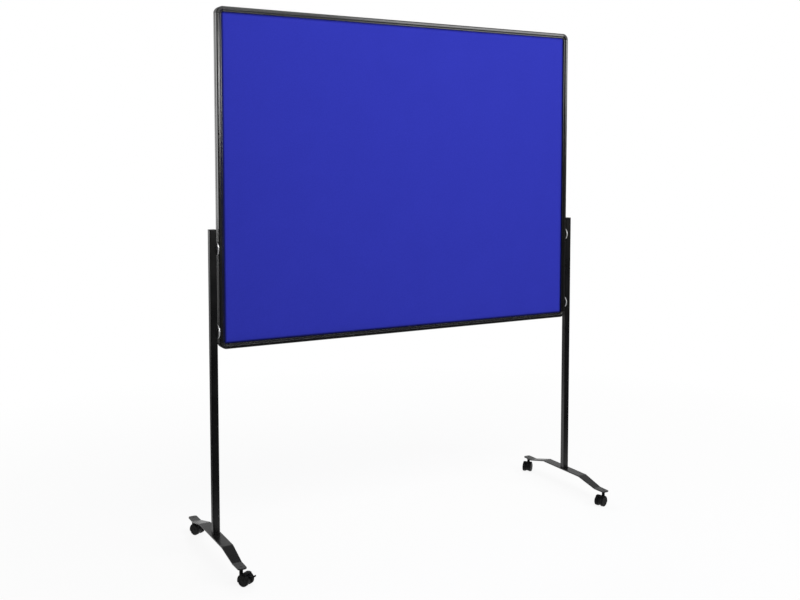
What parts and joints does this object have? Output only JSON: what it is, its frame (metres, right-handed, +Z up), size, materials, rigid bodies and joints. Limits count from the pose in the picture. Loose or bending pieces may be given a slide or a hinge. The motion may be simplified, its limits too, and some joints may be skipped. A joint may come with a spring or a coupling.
{
  "type": "mobile pinboard",
  "caption": "Upright felt pinboard in a slim black frame, clamped between square posts on bent strip feet with swivel casters; the board slides up and down and the clamp discs turn.",
  "frame": {"origin": "on the floor, midway between the two stands, in the middle plane of the board", "axes": "+Z up, -Y towards the side shown, +X along the board to the right"},
  "size_m": [1.5772, 0.6222, 1.95],
  "materials": {
    "felt_blue": "matte",
    "core_board": "matte",
    "frame_black": "satin",
    "corner_plastic": "matte",
    "stand_black": "satin",
    "screw_steel": "satin",
    "stem_dark": "satin",
    "disc_silver": "satin",
    "pad_rubber": "matte",
    "caster_plastic": "satin"
  },
  "bodies": {
    "stands": {"post_left": "stand_black", "post_cap_left": "corner_plastic", "post_plug_left": "screw_steel", "foot_left": "stand_black", "foot_screws_left": "screw_steel", "clamp_bolts_left": "screw_steel", "clamp_nuts_left": "screw_steel", "post_right": "stand_black", "post_cap_right": "corner_plastic", "post_plug_right": "screw_steel", "foot_right": "stand_black", "foot_screws_right": "screw_steel", "clamp_bolts_right": "screw_steel", "clamp_nuts_right": "screw_steel", "caster_stem_front_left": "stem_dark", "caster_stem_front_right": "stem_dark", "caster_stem_rear_left": "stem_dark", "caster_stem_rear_right": "stem_dark"},
    "board": {"panel_core": "core_board", "felt_front": "felt_blue", "felt_rear": "felt_blue", "frame_top": "frame_black", "frame_bottom": "frame_black", "frame_left": "frame_black", "frame_right": "frame_black", "corner_top_left": "corner_plastic", "corner_top_right": "corner_plastic", "corner_bottom_left": "corner_plastic", "corner_bottom_right": "corner_plastic", "corner_screws": "screw_steel"},
    "clamp_left_lower": {"clamp_disc_left_lower": "disc_silver", "clamp_pad_left_lower": "pad_rubber"},
    "clamp_left_upper": {"clamp_disc_left_upper": "disc_silver", "clamp_pad_left_upper": "pad_rubber"},
    "clamp_right_lower": {"clamp_disc_right_lower": "disc_silver", "clamp_pad_right_lower": "pad_rubber"},
    "clamp_right_upper": {"clamp_disc_right_upper": "disc_silver", "clamp_pad_right_upper": "pad_rubber"},
    "swivel_front_left": {"caster_hood_front_left": "caster_plastic", "caster_axle_front_left": "screw_steel"},
    "wheel_a_front_left": {"wheel_a_front_left": "caster_plastic"},
    "wheel_b_front_left": {"wheel_b_front_left": "caster_plastic"},
    "brake_front_left": {"brake_lever_front_left": "caster_plastic"},
    "swivel_front_right": {"caster_hood_front_right": "caster_plastic", "caster_axle_front_right": "screw_steel"},
    "wheel_a_front_right": {"wheel_a_front_right": "caster_plastic"},
    "wheel_b_front_right": {"wheel_b_front_right": "caster_plastic"},
    "swivel_rear_left": {"caster_hood_rear_left": "caster_plastic", "caster_axle_rear_left": "screw_steel"},
    "wheel_a_rear_left": {"wheel_a_rear_left": "caster_plastic"},
    "wheel_b_rear_left": {"wheel_b_rear_left": "caster_plastic"},
    "brake_rear_left": {"brake_lever_rear_left": "caster_plastic"},
    "swivel_rear_right": {"caster_hood_rear_right": "caster_plastic", "caster_axle_rear_right": "screw_steel"},
    "wheel_a_rear_right": {"wheel_a_rear_right": "caster_plastic"},
    "wheel_b_rear_right": {"wheel_b_rear_right": "caster_plastic"}
  },
  "joints": [
    {"name": "board_height", "type": "slide", "parent": "stands", "child": "board", "axis": [0, 0, 1], "range_m": [-0.64, 0.025]},
    {"name": "clamp_left_lower_turn", "type": "hinge", "parent": "stands", "child": "clamp_left_lower", "pos_m": [-0.7528, 0, 0.813], "axis": [-1, 0, 0], "range_deg": [0, 180]},
    {"name": "clamp_left_upper_turn", "type": "hinge", "parent": "stands", "child": "clamp_left_upper", "pos_m": [-0.7528, 0, 1.106], "axis": [-1, 0, 0], "range_deg": [0, 180]},
    {"name": "clamp_right_lower_turn", "type": "hinge", "parent": "stands", "child": "clamp_right_lower", "pos_m": [0.7528, 0, 0.813], "axis": [1, 0, 0], "range_deg": [0, 180]},
    {"name": "clamp_right_upper_turn", "type": "hinge", "parent": "stands", "child": "clamp_right_upper", "pos_m": [0.7528, 0, 1.106], "axis": [1, 0, 0], "range_deg": [0, 180]},
    {"name": "swivel_front_left_turn", "type": "hinge", "parent": "stands", "child": "swivel_front_left", "pos_m": [-0.7681, -0.276, 0.045], "axis": [0, 0, 1], "continuous": true},
    {"name": "wheel_a_front_left_spin", "type": "hinge", "parent": "swivel_front_left", "child": "wheel_a_front_left", "pos_m": [-0.76832, -0.29999, 0.02], "axis": [0.8387, 0.5446, 0], "continuous": true},
    {"name": "wheel_b_front_left_spin", "type": "hinge", "parent": "swivel_front_left", "child": "wheel_b_front_left", "pos_m": [-0.74609, -0.28556, 0.02], "axis": [0.8387, 0.5446, 0], "continuous": true},
    {"name": "brake_front_left_press", "type": "hinge", "parent": "swivel_front_left", "child": "brake_front_left", "pos_m": [-0.75203, -0.30074, 0.0325], "axis": [0.8387, 0.5446, 0], "range_deg": [0, 15]},
    {"name": "swivel_front_right_turn", "type": "hinge", "parent": "stands", "child": "swivel_front_right", "pos_m": [0.7681, -0.276, 0.045], "axis": [0, 0, 1], "continuous": true},
    {"name": "wheel_a_front_right_spin", "type": "hinge", "parent": "swivel_front_right", "child": "wheel_a_front_right", "pos_m": [0.74477, -0.27039, 0.02], "axis": [0.342, -0.9397, 0], "continuous": true},
    {"name": "wheel_b_front_right_spin", "type": "hinge", "parent": "swivel_front_right", "child": "wheel_b_front_right", "pos_m": [0.75384, -0.29529, 0.02], "axis": [0.342, -0.9397, 0], "continuous": true},
    {"name": "swivel_rear_left_turn", "type": "hinge", "parent": "stands", "child": "swivel_rear_left", "pos_m": [-0.7681, 0.276, 0.045], "axis": [0, 0, 1], "continuous": true},
    {"name": "wheel_a_rear_left_spin", "type": "hinge", "parent": "swivel_rear_left", "child": "wheel_a_rear_left", "pos_m": [-0.76958, 0.25205, 0.02], "axis": [0.866, 0.5, 0], "continuous": true},
    {"name": "wheel_b_rear_left_spin", "type": "hinge", "parent": "swivel_rear_left", "child": "wheel_b_rear_left", "pos_m": [-0.74662, 0.2653, 0.02], "axis": [0.866, 0.5, 0], "continuous": true},
    {"name": "brake_rear_left_press", "type": "hinge", "parent": "swivel_rear_left", "child": "brake_rear_left", "pos_m": [-0.75335, 0.25045, 0.0325], "axis": [0.866, 0.5, 0], "range_deg": [0, 15]},
    {"name": "swivel_rear_right_turn", "type": "hinge", "parent": "stands", "child": "swivel_rear_right", "pos_m": [0.7681, 0.276, 0.045], "axis": [0, 0, 1], "continuous": true},
    {"name": "wheel_a_rear_right_spin", "type": "hinge", "parent": "swivel_rear_right", "child": "wheel_a_rear_right", "pos_m": [0.74437, 0.27246, 0.02], "axis": [0.6691, -0.7431, 0], "continuous": true},
    {"name": "wheel_b_rear_right_spin", "type": "hinge", "parent": "swivel_rear_right", "child": "wheel_b_rear_right", "pos_m": [0.7621, 0.25277, 0.02], "axis": [0.6691, -0.7431, 0], "continuous": true}
  ]
}
